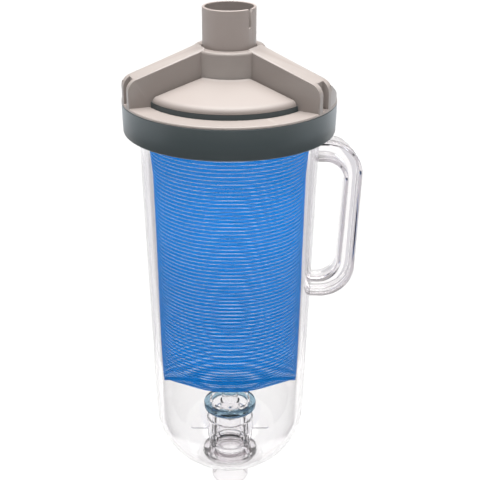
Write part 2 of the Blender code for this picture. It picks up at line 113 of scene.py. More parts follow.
# Bag
BAG_RADIUS = 63.5
BAG_DRAFT = 0.0167
BAG_END_Z = 106.0
BAG_SAG = 4.0
BAG_TOP_Z = 349.7
BAG_ROUND_Z = 160.0
SEAM_HEIGHT = 3.0
HEM_RADII = (68.5, 70.2)
HEM_Z = (350.0, 366.0)
GATHER = 0.25
HOLLOW = 0.35
HOLLOW_LENGTH = 200.0
PUCKER = 0.3
BAG_SAG_FLAT = 10.0
BAG_SAG_SLOPE = 38.0
ROW_PITCH = 3.4
FINE_PITCH = 0.85
WALES = 400

# Outlet guard
GUARD_RING_Z = (78.7, 84.7)
GUARD_RING_RADII = (19.5, 24.6)
DRUM_RADII = (14.8, 16.8)
TAB_HEADINGS = (90.0, -90.0)
LEG_HEADINGS = (45.0, 135.0, -45.0, -135.0)
WINDOW_HEADINGS = (50.0, 130.0, -50.0, -130.0)
WINDOW_SIZE = (6.4, 8.0, 24.0)
WINDOW_MIDDLE_Z = 61.0

# Carry handle
HANDLE_ROOT_X = 64.0
HANDLE_OUTER = {"x_top": 116.3, "x_low": 110.3, "z_top": 345.0, "z_low": 199.0, "radius": 30.0}
HANDLE_INNER = {"x_top": 100.8, "x_low": 95.2, "z_top": 327.0, "z_low": 216.5, "radius": 18.0}
RAIL = 3.6
RAIL_HALF_WIDTH = 10.0
WEB_HALF_WIDTH = 2.0

# Camera and studio
CAMERA_PLACE = (0.0045, -0.882, 0.628)
CAMERA_PITCH = 23.2
LENS = 80.4
SENSOR_WIDTH = 36.0
SHIFT_X = 0.01114
STUDIO_FLOOR_Z = -0.42
FLOOR_SHADE = 0.385
ROOM_LIGHT = 0.1
ROOM_LIGHT_IN_CLEAR = 0.6
OVERHEAD_LIGHT = 8.5
OVERHEAD_EDGE = (0.72, 0.92)
FLAG_LIGHT = 0.8
FLAG_EDGE = 0.2
FLAG_SIZE = (1.3, 1.7)
SCREEN_RADIUS = 0.5
INNER_SCREEN_RADIUS = 0.52
SCREEN_LEVELS = (-0.41, 0.2, 0.3)
SCREEN_LIGHT = 0.02
INNER_SCREEN_LIGHT = 0.1
SIDE_LIGHT = 2.2
BACK_LIGHT = 1.42
FILL_AIMS = ((0.36, 13.0), (0.12, 3.0))
FILL_SPREAD = 24.0
FILL_SOFTNESS = 0.08
WARM_WHITE = (0.98, 0.97, 1.0)
COOL_WHITE = (0.9, 0.95, 1.0)


# ---------------------------------------------------------------- shapes


def heading(degrees):
    """The turn about +Z that takes the front, -Y, to this heading."""
    return Matrix.Rotation(math.radians(degrees), 4, "Z")


def polar(radius, degrees, z):
    """A point in metres from a radius, a heading and a height in millimetres."""
    angle = math.radians(degrees)
    return Vector((radius * math.sin(angle), -radius * math.cos(angle), z)) * MM


def upright(degrees):
    """Takes an outline drawn as (radius, height) to the vertical plane at this heading."""
    plane = Matrix(((0, 0, 1, 0), (-1, 0, 0, 0), (0, 1, 0, 0), (0, 0, 0, 1)))
    return heading(degrees) @ plane


def gap_between(a, b):
    """The angle between two headings, in degrees."""
    return abs((a - b + 180) % 360 - 180)


def near_any(degrees, middles, half_span):
    return any(gap_between(degrees, middle) <= half_span for middle in middles)


def wall_radius(z):
    return WALL_RADIUS + WALL_DRAFT * (z - DOME_TOP_Z)


def panel_z(radius):
    return HUB_FOOT_Z - PANEL_SLOPE * (radius - HUB_RADIUS)


def bag_radius(z):
    return BAG_RADIUS + BAG_DRAFT * (z - BAG_END_Z)


def bag_end_z(x):
    """Height of the bag's sewn end, which sags between its two corners and is flat in the middle."""
    up_the_slope = min(1.0, max(0.0, abs(x) - BAG_SAG_FLAT) / BAG_SAG_SLOPE)
    return BAG_END_Z - BAG_SAG * math.cos(0.5 * math.pi * up_the_slope) ** 2


def rounded(corners, steps=6):
    """An outline from (x, y, radius) corners, with each corner that has a radius turned into an arc."""
    points = []
    for i, (x, y, radius) in enumerate(corners):
        if not radius:
            points.append((x, y))
            continue
        here = Vector((x, y))
        before = (Vector(corners[i - 1][:2]) - here).normalized()
        after = (Vector(corners[(i + 1) % len(corners)][:2]) - here).normalized()
        half = before.angle(after) / 2
        middle = here + (before + after).normalized() * radius / math.sin(half)
        first = here + before * radius / math.tan(half) - middle
        turn = first.angle_signed(here + after * radius / math.tan(half) - middle)
        for step in range(steps + 1):
            spoke = first.copy()
            spoke.rotate(Matrix.Rotation(-turn * step / steps, 2))
            points.append(tuple(middle + spoke))
    return points


def dome(radius, height, low_z, steps=26):
    """The dome's profile from its shoulder down towards the axis, an ellipse when DOME_POWER is 2."""
    points = []
    for step in range(steps + 1):
        angle = math.radians(DOME_SPAN) * step / steps
        points.append(
            (
                radius * math.cos(angle) ** (2 / DOME_POWER),
                low_z + height * (1 - math.sin(angle) ** (2 / DOME_POWER)),
            )
        )
    return points


# ---------------------------------------------------------------- mesh tools


def finished(shape, name, smooth_angle=38):
    """An object from a bmesh, with its faces facing out and its corners kept sharp."""
    bmesh.ops.recalc_face_normals(shape, faces=shape.faces)
    mesh = bpy.data.meshes.new(name)
    shape.to_mesh(mesh)
    shape.free()
    mesh.shade_smooth()
    mesh.set_sharp_from_angle(angle=math.radians(smooth_angle))
    made = bpy.data.objects.new(name, mesh)
    bpy.context.scene.collection.objects.link(made)
    return made


def turned(name, outline, steps=120, bend=None, closed=True):
    """A turned shape from (radius, height) points.

    bend(i, radius, height, heading) can move a point at a heading.
    """
    shape = bmesh.new()
    rings = []
    for step in range(steps):
        degrees = 360 * step / steps
        ring = []
        for i, (radius, z) in enumerate(outline):
            if radius == 0 and rings:
                ring.append(rings[0][i])
                continue
            r, h = bend(i, radius, z, degrees) if bend else (radius, z)
            ring.append(shape.verts.new(polar(r, degrees, h)))
        rings.append(ring)
    last = len(outline) if closed else len(outline) - 1
    for step in range(steps):
        here, there = rings[step], rings[(step + 1) % steps]
        for i in range(last):
            j = (i + 1) % len(outline)
            corners = dict.fromkeys((here[i], here[j], there[j], there[i]))
            if len(corners) > 2:
                shape.faces.new(corners)
    return finished(shape, name)


def slab(name, outline, half_width, placing, edge=0.0, segments=3):
    """A flat outline given thickness both ways in the placing matrix's plane, its long edges rounded."""
    shape = bmesh.new()
    ends = []
    for side in (-half_width, half_width):
        ends.append([shape.verts.new((x * MM, y * MM, side * MM)) for x, y in outline])
    for i in range(len(outline)):
        shape.faces.new((ends[0][i - 1], ends[0][i], ends[1][i], ends[1][i - 1]))
    caps = [shape.faces.new(ends[0][::-1]), shape.faces.new(ends[1])]
    if edge:
        rims = list({e for cap in caps for e in cap.edges})
        bmesh.ops.bevel(shape, geom=rims, offset=edge * MM, segments=segments, profile=0.5, affect="EDGES")
    bmesh.ops.transform(shape, matrix=placing, verts=shape.verts)
    return finished(shape, name)


def block(name, size, center, placing):
    """A box cutter, its size and centre in millimetres, turned by the placing matrix."""
    shape = bmesh.new()
    bmesh.ops.create_cube(shape, size=1.0)
    bmesh.ops.scale(shape, vec=Vector(size) * MM, verts=shape.verts)
    bmesh.ops.translate(shape, vec=Vector(center) * MM, verts=shape.verts)
    bmesh.ops.transform(shape, matrix=placing, verts=shape.verts)
    return finished(shape, name)


def swept(name, sections, close_ends=True):
    """A shape through a list of closed sections, each a list of points in millimetres."""
    shape = bmesh.new()
    rings = [[shape.verts.new(Vector(p) * MM) for p in section] for section in sections]
    for near, far in zip(rings, rings[1:]):
        for i in range(len(near)):
            shape.faces.new((near[i - 1], near[i], far[i], far[i - 1]))
    if close_ends:
        shape.faces.new(rings[0])
        shape.faces.new(rings[-1])
    return finished(shape, name)


def cut_or_join(piece, others, operation):
    """Applies Booleans with helper objects, and then removes the helpers."""
    for other in others:
        change = piece.modifiers.new(operation, "BOOLEAN")
        change.operation = operation
        change.solver = "EXACT"
        change.object = other
    graph = bpy.context.evaluated_depsgraph_get()
    mesh = bpy.data.meshes.new_from_object(piece.evaluated_get(graph))
    piece.modifiers.clear()
    piece.data = mesh
    for other in others:
        bpy.data.objects.remove(other)
    return piece


def crisp(piece, smooth_angle=38, weighted=True):
    """Smooth shading with sharp corners, and flat faces kept flat by weighted normals."""
    piece.data.shade_smooth()
    piece.data.set_sharp_from_angle(angle=math.radians(smooth_angle))
    if weighted:
        weigh = piece.modifiers.new("even_shading", "WEIGHTED_NORMAL")
        weigh.keep_sharp = True
        weigh.weight = 80
    return piece


# ---------------------------------------------------------------- materials

LIGHT_GREY = (0.275, 0.24, 0.222)
# Lighter colour painted on the light grey's edges as a highlight.
EDGE_HIGHLIGHT_GREY = (0.4, 0.37, 0.35)
CUFF_GREY = (0.315, 0.27, 0.25)
SLATE = (0.05, 0.066, 0.071)
WHITE = (0.72, 0.72, 0.7)
NEARLY_CLEAR = (1.0, 0.995, 1.0)
FAINT_GREY = (0.72, 0.68, 0.7)
THIN_SHADOW = (0.93, 0.93, 0.94)
# Its own colour, its colour in depth, and its shadow's colour.
SMOKY_BLUE = ((0.6, 0.8, 0.88), (0.06, 0.26, 0.4), (0.5, 0.65, 0.75))
# Close courses first, then loose rows.
BAG_BLUES = ((0.003, 0.18, 0.595), (0.01, 0.32, 0.79))
HEM_BLUES = ((0.004, 0.17, 0.6), (0.01, 0.25, 0.74))
RIPPLE = 0.004

class Recipe:
    """A material's node tree, built by short calls."""

    def __init__(self, name):
        self.material = bpy.data.materials.new(name)
        self.material.use_nodes = True
        self.tree = self.material.node_tree
        self.tree.nodes.clear()
        self.out = self.tree.nodes.new("ShaderNodeOutputMaterial")

    def add(self, kind, settings=None, **inputs):
        """A node. An input is named by its label, or i0, i1 and so on by its place."""
        node = self.tree.nodes.new("ShaderNode" + kind)
        for key, value in (settings or {}).items():
            setattr(node, key, value)
        for key, value in inputs.items():
            numbered = key[0] == "i" and key[1:].isdigit()
            socket = node.inputs[int(key[1:]) if numbered else key.replace("_", " ")]
            if isinstance(value, bpy.types.NodeSocket):
                self.tree.links.new(value, socket)
            else:
                socket.default_value = value
        return node

    def math(self, operation, first, second=0.0, third=0.0, clamp=False):
        settings = {"operation": operation, "use_clamp": clamp}
        return self.add("Math", settings, i0=first, i1=second, i2=third).outputs[0]

    def noise(self, scale, detail=3.0, roughness=0.55, where=None):
        where = where or self.place()
        node = self.add("TexNoise", None, Vector=where, Scale=scale, Detail=detail, Roughness=roughness)
        return node.outputs["Fac"]

    def place(self):
        return self.add("TexCoord").outputs["Object"]

    def span(self, value, low, high, from_low=0.0, from_high=1.0):
        node = self.add("MapRange", None, Value=value, To_Min=low, To_Max=high)
        node.inputs["From Min"].default_value = from_low
        node.inputs["From Max"].default_value = from_high
        return node.outputs["Result"]

    def blend(self, factor, first, second):
        """A mix of two colours."""
        node = self.add("Mix", {"data_type": "RGBA"}, i0=factor)
        for index, colour in ((6, first), (7, second)):
            if isinstance(colour, bpy.types.NodeSocket):
                self.tree.links.new(colour, node.inputs[index])
            else:
                node.inputs[index].default_value = (*colour, 1.0)
        return node.outputs[2]

    def bump(self, height, distance, strength=1.0):
        """distance is in millimetres."""
        node = self.add("Bump", None, Height=height, Distance=distance * MM, Strength=strength)
        return node.outputs["Normal"]

    def finish(self, shader):
        self.tree.links.new(shader, self.out.inputs["Surface"])
        return self.material


def moulded_plastic(name, colour, highlight_colour, roughness=(0.3, 0.42), grain=0.012):
    """Moulded plastic: faint flow marks in its colour, a fine grain, and a painted highlight that makes its
    edges a little lighter.
    """
    m = Recipe(name)
    flow = m.noise(9.0, 4.0)
    speck = m.noise(1500.0, 2.0)
    darker = [c * 0.955 for c in colour]
    lighter = [min(1, c * 1.035) for c in colour]
    shade = m.blend(m.span(flow, 0.0, 1.0, 0.35, 0.65), darker, lighter)
    # Painted highlight: outer edges, found by pointiness, are made lighter in patches.
    edge = m.span(m.add("NewGeometry").outputs["Pointiness"], 0.0, 0.6, 0.52, 0.58)
    painted_highlight = m.math("MULTIPLY", edge, m.span(m.noise(120.0), 0.3, 1.0), clamp=True)
    shade = m.blend(painted_highlight, shade, highlight_colour)
    rough = m.math("ADD", m.span(flow, *roughness, 0.3, 0.7), m.span(speck, -0.03, 0.03))
    plastic = m.add(
        "BsdfPrincipled",
        None,
        Base_Color=shade,
        Roughness=rough,
        Normal=m.bump(speck, grain),
        IOR=1.5,
    )
    return m.finish(plastic.outputs[0])


def clear_plastic(name, density, ior, colour=NEARLY_CLEAR, in_depth=FAINT_GREY, shadow=THIN_SHADOW):
    """Clear moulded plastic that takes on a second colour in depth. Lamps reach what is inside it.

    The thin pieces have a lower ior than real plastic, which keeps their many edges from turning dark.
    """
    m = Recipe(name)
    flow = m.noise(14.0, 2.0)
    haze = m.span(m.noise(40.0, 3.0), 0.015, 0.05, 0.3, 0.7)
    glass = m.add(
        "BsdfPrincipled",
        None,
        Base_Color=(*colour, 1.0),
        Roughness=haze,
        IOR=ior,
        Transmission_Weight=1.0,
        Normal=m.bump(flow, RIPPLE),
    )
    through = m.add("BsdfTransparent", None, Color=(*shadow, 1.0))
    lamp = m.add("LightPath").outputs["Is Shadow Ray"]
    mix = m.add("MixShader", None, Fac=lamp)
    m.tree.links.new(glass.outputs[0], mix.inputs[1])
    m.tree.links.new(through.outputs[0], mix.inputs[2])
    inside = m.add("VolumeAbsorption", None, Color=(*in_depth, 1.0), Density=density)
    m.tree.links.new(inside.outputs[0], m.out.inputs["Volume"])
    return m.finish(mix.outputs[0])


def mesh_cloth(name, deep, pale, see_through=(0.09, 0.54), rows=True):
    """Knitted mesh: close courses, looser rows between them that let more through, and a fine cross weave.

    Without rows it is the same knit, but nothing shows through it.
    """
    m = Recipe(name)
    at = m.add("SeparateXYZ", None, Vector=m.place())
    turn = m.math("ARCTAN2", at.outputs["X"], at.outputs["Y"])
    wander = m.math("MULTIPLY", m.math("SUBTRACT", m.noise(26.0, 2.0), 0.5), 0.00006)
    level = m.math("ADD", at.outputs["Z"], wander)
    course = m.math("SINE", m.math("MULTIPLY", level, 2 * math.pi / (ROW_PITCH * MM)))
    wale = m.math("SINE", m.math("MULTIPLY", turn, float(WALES)))
    fine = m.math("SINE", m.math("MULTIPLY", at.outputs["Z"], 2 * math.pi / (FINE_PITCH * MM)))
    weave = m.math("ADD", m.math("MULTIPLY", wale, 0.5), m.math("MULTIPLY", fine, 0.5))
    loose = m.span(course, 0.0, 1.0, -0.2, 0.9)
    shade = m.blend(loose, deep, pale)
    shade = m.blend(m.span(m.noise(18.0, 3.0), 0.0, 0.2, 0.35, 0.7), shade, deep)
    height = m.math("ADD", m.math("MULTIPLY", course, -0.5), m.math("MULTIPLY", weave, 0.25))
    cloth = m.add(
        "BsdfPrincipled",
        None,
        Base_Color=shade,
        Roughness=m.span(m.noise(300.0), 0.55, 0.75),
        Normal=m.bump(height, 0.2),
    )
    cloth.inputs["Specular IOR Level"].default_value = 0.0
    if not rows:
        return m.finish(cloth.outputs[0])
    share = m.span(loose, *see_through)
    through = m.add("BsdfTransparent", None, Color=(0.98, 0.99, 1.0, 1.0))
    mix = m.add("MixShader", None, Fac=share)
    m.tree.links.new(cloth.outputs[0], mix.inputs[1])
    m.tree.links.new(through.outputs[0], mix.inputs[2])
    return m.finish(mix.outputs[0])


def rubber(name):
    """Matt black rubber."""
    m = Recipe(name)
    speck = m.noise(700.0, 3.0)
    shade = m.blend(m.noise(30.0), (0.012, 0.012, 0.013), (0.03, 0.03, 0.032))
    seal = m.add("BsdfPrincipled", None, Base_Color=shade, Roughness=m.span(speck, 0.55, 0.75))
    m.tree.links.new(m.bump(speck, 0.03), seal.inputs["Normal"])
    return m.finish(seal.outputs[0])


MATERIALS = {
    # The second colour of each moulding is the painted highlight on its edges.
    "light_grey_plastic": moulded_plastic("light_grey_moulding", LIGHT_GREY, EDGE_HIGHLIGHT_GREY, (0.42, 0.52)),
    "cuff_grey": moulded_plastic("cuff_grey_moulding", CUFF_GREY, (0.42, 0.39, 0.37), (0.4, 0.5)),
    "slate_plastic": moulded_plastic("slate_moulding", SLATE, (0.12, 0.135, 0.14), (0.34, 0.46)),
    "white_plastic": moulded_plastic("white_moulding", WHITE, (0.8, 0.8, 0.79)),
    "clear_plastic": clear_plastic("clear_moulding", 25.0, 1.49, colour=(0.998, 0.995, 0.998)),
    "clear_guard": clear_plastic("clear_guard_moulding", 5.0, 1.17),
    "clear_handle": clear_plastic("clear_handle_moulding", 50.0, 1.3),
    "clear_spigot": clear_plastic("clear_spigot_moulding", 130.0, 1.25, colour=(0.99, 0.985, 0.99)),
    "smoke_blue_plastic": clear_plastic("smoky_blue_moulding", 80.0, 1.35, *SMOKY_BLUE),
    "blue_mesh": mesh_cloth("bag_mesh", *BAG_BLUES),
    "blue_hem": mesh_cloth("bag_hem", *HEM_BLUES, rows=False),
    "black_rubber": rubber("seal_rubber"),
}


def place(piece, body, slot, *nodes, material=None):
    """Gives a piece its material, named by its slot unless another is given, parents it to its body, and
    hides the CAD nodes that it stands for.
    """
    piece.data.materials.clear()
    piece.data.materials.append(MATERIALS[material or slot])
    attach(piece, body)
    if nodes:
        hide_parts(*nodes)
    return piece


# ---------------------------------------------------------------- pieces


def make_canister():
    """The clear shell with its rim, seat for the bag's hoop, locking lugs and outlet hole."""
    inset = DOME_TOP_Z - DOME_BOTTOM_Z
    outside = dome(WALL_RADIUS, inset, DOME_BOTTOM_Z)
    inside = dome(WALL_RADIUS - WALL, inset - WALL, DOME_BOTTOM_Z + WALL)
    wall_heights = [90 + 34 * i for i in range(8)]
    outline = [
        (RIM_RADIUS - 0.6, RIM_TOP_Z),
        (RIM_RADIUS, RIM_TOP_Z - 0.6),
        (RIM_RADIUS, 367.5),
        (RIM_RADIUS, 367.2),
        (RIM_RADIUS, 363.3),
        (RIM_RADIUS, 363.0),
        (RIM_RADIUS, RIM_LOW_Z + 0.5),
        (RIM_RADIUS - 0.5, RIM_LOW_Z),
        (wall_radius(RIM_LOW_Z) + 1.2, RIM_LOW_Z),
        (wall_radius(358.0), 358.0),
        *[(wall_radius(z), z) for z in reversed(wall_heights)],
        *[point for point in outside if point[0] > FLOOR_RADIUS],
        (OUTLET_HOLE + 0.8, DOME_BOTTOM_Z),
        (OUTLET_HOLE, DOME_BOTTOM_Z + 0.8),
        (OUTLET_HOLE, FLOOR_Z - 0.4),
        (OUTLET_HOLE + 0.4, FLOOR_Z),
        (FLOOR_RADIUS, FLOOR_Z),
        *[point for point in reversed(inside) if point[1] > FLOOR_Z + 1],
        *[(wall_radius(z) - WALL, z) for z in wall_heights],
        (wall_radius(LEDGE_Z) - WALL, LEDGE_Z),
        (LEDGE_RADIUS, LEDGE_Z),
        (LEDGE_RADIUS, RIM_TOP_Z - 0.5),
        (LEDGE_RADIUS + 0.5, RIM_TOP_Z),
    ]
    lug_points = {3: -0.5, 4: -0.5}

    def lugs(i, radius, z, degrees):
        if i in lug_points and near_any(degrees, LUG_HEADINGS, LUG_SPAN / 2):
            return LUG_RADIUS, z
        return radius, z

    shell = turned("canister_wall", outline, steps=180, bend=lugs)
    return place(shell, "canister", "clear_plastic", "canister_shell")


def bow(x_top, x_low, z_top, z_low, radius, steps=14):
    """One edge of the handle's D from the canister out, down and back, with evenly many points."""
    top = [(HANDLE_ROOT_X, z_top, 0), (x_top, z_top, radius)]
    low = [(x_low, z_low, radius), (HANDLE_ROOT_X, z_low, 0)]
    bends = rounded(top + low, steps=steps)
    half = len(bends) // 2
    grip = [tuple(Vector(bends[half - 1]).lerp(Vector(bends[half]), part)) for part in (0.2, 0.4, 0.6, 0.8)]
    return bends[:half] + grip + bends[half:]


def rail_section(length):
    """The handle's I-shaped section, as points (distance from the outer edge, half width)."""
    half = [
        (0.0, RAIL_HALF_WIDTH, 1.2),
        (RAIL, RAIL_HALF_WIDTH, 1.0),
        (RAIL, WEB_HALF_WIDTH, 0.8),
        (length - RAIL, WEB_HALF_WIDTH, 0.8),
        (length - RAIL, RAIL_HALF_WIDTH, 1.0),
        (length, RAIL_HALF_WIDTH, 1.2),
    ]
    return rounded(half + [(s, -w, r) for s, w, r in reversed(half)], steps=3)


def make_handle():
    """The D handle, its ends shaped to the canister's wall."""
    outer, inner = bow(**HANDLE_OUTER), bow(**HANDLE_INNER)
    sections = []
    for far, near in zip(outer, inner):
        far, near = Vector(far), Vector(near)
        across = near - far
        section = []
        for along, wide in rail_section(across.length):
            x, z = far + across * along / across.length
            section.append((x, wide, z))
        sections.append(section)
    for section in (sections[0], sections[-1]):
        for i, (x, wide, z) in enumerate(section):
            section[i] = (math.sqrt((wall_radius(z) + CLEARANCE) ** 2 - wide**2), wide, z)
    handle = swept("handle_bow", sections)
    return place(handle, "canister", "clear_plastic", "carry_handle", material="clear_handle")


def make_collar():
    """The dark skirt with its inner lugs, and the upstand round the panels that dips under each arm."""
    outline = [
        (COLLAR_RADIUS - 0.4, COLLAR_TOP_Z),
        (COLLAR_RADIUS, COLLAR_TOP_Z - 0.4),
        (COLLAR_RADIUS - 0.2, 368.0),
        (COLLAR_RADIUS - 0.6, COLLAR_LOW_Z + 1.6),
        (COLLAR_RADIUS - 1.0, COLLAR_LOW_Z + 0.6),
        (COLLAR_RADIUS - 1.8, COLLAR_LOW_Z),
        (SKIRT_INSIDE + 0.5, COLLAR_LOW_Z),
        (SKIRT_INSIDE, COLLAR_LOW_Z + 0.5),
        (SKIRT_INSIDE, 357.0),
        (SKIRT_INSIDE, 357.2),
        (SKIRT_INSIDE, 360.3),
        (SKIRT_INSIDE, 360.5),
        (SKIRT_INSIDE, 377.6),
        (SKIRT_INSIDE - 0.6, 378.2),
        (UPSTAND_RADIUS, 378.2),
        (UPSTAND_RADIUS, UPSTAND_Z - 0.4),
        (UPSTAND_RADIUS + 0.4, UPSTAND_Z),
        (PANEL_RADIUS - 0.6, UPSTAND_Z),
        (PANEL_RADIUS - 0.2, UPSTAND_Z - 0.4),
        (PANEL_RADIUS - 0.2, COLLAR_TOP_Z),
    ]
    collar_lugs = [middle + LOCK_ANGLE for middle in LUG_HEADINGS]
    arm_gap = math.degrees(math.asin((ARM_HALF_WIDTH + CLEARANCE) / (UPSTAND_RADIUS + 1.1))) - 0.4
    lug_points, upstand_points = (9, 10), (15, 16, 17, 18)

    def details(i, radius, z, degrees):
        if i in lug_points and near_any(degrees, collar_lugs, LUG_SPAN / 2):
            return SKIRT_LUG_RADIUS, z
        if i in upstand_points and near_any(degrees, ARM_HEADINGS, arm_gap):
            return radius, COLLAR_TOP_Z + 0.02 * (18 - i) * (i - 15) + 0.01
        return radius, z

    collar = turned("collar_skirt", outline, steps=240, bend=details)
    return place(collar, "lock_ring", "slate_plastic", "locking_collar")


def arc_fin(name, radii, low_z, tops, headings, steps=12, edge=0.9):
    """A curved upright fin with a rounded top, falling evenly from one end to the other."""
    sections = []
    for step in range(steps + 1):
        part = step / steps
        degrees = headings[0] + (headings[1] - headings[0]) * part
        top = tops[0] + (tops[1] - tops[0]) * part
        corners = [(radii[0], low_z, 0), (radii[1], low_z, 0), (radii[1], top, edge), (radii[0], top, edge)]
        sections.append([polar(r, degrees, z) / MM for r, z in rounded(corners, steps=4)])
    return swept(name, sections)


def make_grip_frame():
    """The hub, the flat rim and the three notched arms, with a curved fin beside each front arm."""
    top = PLATFORM_Z
    low = COLLAR_TOP_Z + CLEARANCE
    platform = rounded(
        [
            (COLLAR_RADIUS, top, 1.5),
            (COLLAR_RADIUS, low, 0),
            (PANEL_RADIUS + 0.3, low, 0),
            (PANEL_RADIUS + 0.3, top, 0.4),
        ],
        steps=5,
    )
    hub = rounded(
        [
            (HUB_BORE, HUB_TOP_Z, 0.8),
            (HUB_RADIUS, HUB_TOP_Z, 2.6),
            (HUB_RADIUS, 396.0, 0),
            (FLANGE_BORE, 396.0, 0),
            (FLANGE_BORE, FLANGE_SEAT_Z, 0),
            (HUB_BORE, FLANGE_SEAT_Z, 0.3),
        ],
        steps=6,
    )
    arms, notches = [], []
    for i, arm in enumerate(ARM_HEADINGS):
        near = 24.6
        outline = rounded(
            [
                (near, ARM_TOP_Z - ARM_SLOPE * (near - HUB_RADIUS), 0),
                (ARM_END, ARM_TOP_Z - ARM_SLOPE * (ARM_END - HUB_RADIUS), 11.0),
                (ARM_END, top - 1.6, 0),
                (70.0, top - 1.6, 0),
                (28.2, top + 14.4, 0),
                (near, top + 20.0, 0),
            ],
            steps=10,
        )
        arms.append(slab(f"arm_{i}", outline, ARM_HALF_WIDTH, upright(arm), edge=1.3))
        notch_middle = (0, -NOTCH_RADIUS, top + NOTCH_SIZE[2] / 2)
        notches.append(block(f"notch_{i}", NOTCH_SIZE, notch_middle, heading(arm)))
    fins = []
    for side, arm in ((-1, ARM_HEADINGS[0]), (1, ARM_HEADINGS[1])):
        ends = (arm + side * 6.5, arm + side * 28)
        fins.append(arc_fin(f"fin_{side}", (84.0, 90.4), top - 1, (402.0, 385.0), ends))
    frame_piece = turned("grip_arms", platform, steps=180)
    hub_ring = turned("hub_ring", hub, steps=120)
    narrow, wide, step_z = HUB_BORE + 0.01, FLANGE_BORE - 0.01, FLANGE_SEAT_Z - 0.2
    bore = [(0, 430), (narrow, 430), (narrow, step_z), (wide, step_z), (wide, 385), (0, 385)]
    cut_or_join(frame_piece, arms, "UNION")
    cut_or_join(frame_piece, notches, "DIFFERENCE")
    cut_or_join(frame_piece, fins, "UNION")
    cut_or_join(frame_piece, [turned("bore", bore, steps=120, closed=False)], "DIFFERENCE")
    cut_or_join(frame_piece, [hub_ring], "UNION")
    crisp(frame_piece)
    return place(frame_piece, "lock_ring", "light_grey_plastic", "grip_frame")


def make_panel(node, arms):
    """A sloping wedge panel whose sides run parallel to the arms, with rounded outer corners and edges."""
    side = ARM_HALF_WIDTH + PANEL_GAP
    corner, fillet, plate = 3.6, 3.7, 2.9
    inner, outer = HUB_RADIUS + PANEL_GAP, PANEL_RADIUS
    span = arms[1] - arms[0]
    middle = (arms[0] + arms[1]) / 2

    def half_angle(radius):
        return math.radians(span / 2) - math.asin(side / radius)

    def to_side(radius, share):
        off = (1 - abs(share)) * half_angle(radius)
        return radius * math.sin(math.asin(side / radius) + off) - side

    def depth(radius, share):
        """Distance in from the panel's outline, whose outer corners are rounded."""
        a, b = to_side(radius, share), outer - radius
        if a < corner and b < corner:
            return corner - math.hypot(corner - a, corner - b)
        return min(a, b)

    def reach(share):
        """The outline's radius along one line out from the hub."""
        low, high = outer - corner - 1, outer
        if depth(high, share) >= -1e-6:
            return high
        for _ in range(30):
            half = (low + high) / 2
            low, high = (half, high) if depth(half, share) > 0 else (low, half)
        return low

    columns, rows = 72, 26
    even = [2 * i / columns - 1 for i in range(columns + 1)]
    shares = [0.5 * math.sin(0.5 * math.pi * share) + 0.5 * share for share in even]
    skirt = panel_z(outer) - PANEL_FOOT_Z - plate
    shape = bmesh.new()
    top, low = [], []
    for share in shares:
        edge = reach(share)
        top_line, low_line = [], []
        for j in range(rows + 1):
            part = math.sin(0.5 * math.pi * j / rows) ** 0.9
            radius = inner + (edge - inner) * part
            degrees = middle + math.degrees(half_angle(radius)) * share
            near = max(0.0, depth(radius, share))
            inset = min(near, fillet)
            drop = fillet - math.sqrt(fillet**2 - (fillet - inset) ** 2)
            thick = plate + skirt * max(0.0, min(1.0, (radius - outer + 4) / 4))
            z = panel_z(radius)
            top_line.append(shape.verts.new(polar(radius, degrees, z - drop)))
            low_line.append(shape.verts.new(polar(radius, degrees, z - max(thick, drop + 0.4))))
        top.append(top_line)
        low.append(low_line)
    for i in range(columns):
        for j in range(rows):
            shape.faces.new((top[i][j], top[i + 1][j], top[i + 1][j + 1], top[i][j + 1]))
            shape.faces.new((low[i][j + 1], low[i + 1][j + 1], low[i + 1][j], low[i][j]))
        for j in (0, rows):
            shape.faces.new((top[i][j], top[i + 1][j], low[i + 1][j], low[i][j]))
    for i in (0, columns):
        for j in range(rows):
            shape.faces.new((top[i][j], top[i][j + 1], low[i][j + 1], low[i][j]))
    panel = finished(shape, node + "_plate", 50)
    return place(panel, "lock_ring", "light_grey_plastic", node)


def make_cuff():
    """The hose cuff with its flange, and a slot in its mouth that opens wider on one side."""
    outline = rounded(
        [
            (CUFF_BORE, CUFF_TOP_Z, 0.7),
            (CUFF_RADIUS, CUFF_TOP_Z, 0.9),
            (CUFF_RADIUS, CUFF_FLANGE_Z, 0.5),
            (CUFF_FLANGE_RADIUS, CUFF_FLANGE_Z, 0.4),
            (CUFF_FLANGE_RADIUS, CUFF_FOOT_Z, 0.4),
            (CUFF_BORE, CUFF_FOOT_Z, 0),
        ],
        steps=5,
    )
    tube = turned("cuff_tube", outline, steps=144)
    low_z, mouth_z, top_z = CUFF_TOP_Z - 16, CUFF_TOP_Z - 3.5, CUFF_TOP_Z + 2
    half, wide = 1.5, 4.5
    slot = rounded(
        [(-half, low_z, 1.3), (half, low_z, 1.3), (half, mouth_z, 0), (wide, top_z, 0), (-half, top_z, 0)],
        steps=4,
    )
    at_wall = Matrix.Translation((0, -CUFF_RADIUS * MM, 0)) @ Matrix.Rotation(math.pi / 2, 4, "X")
    facing_out = heading(SLOT_HEADING) @ at_wall
    cut_or_join(tube, [slab("slot", slot, 6, facing_out)], "DIFFERENCE")
    crisp(tube)
    return place(tube, "cuff", "light_grey_plastic", "hose_cuff", material="cuff_grey")


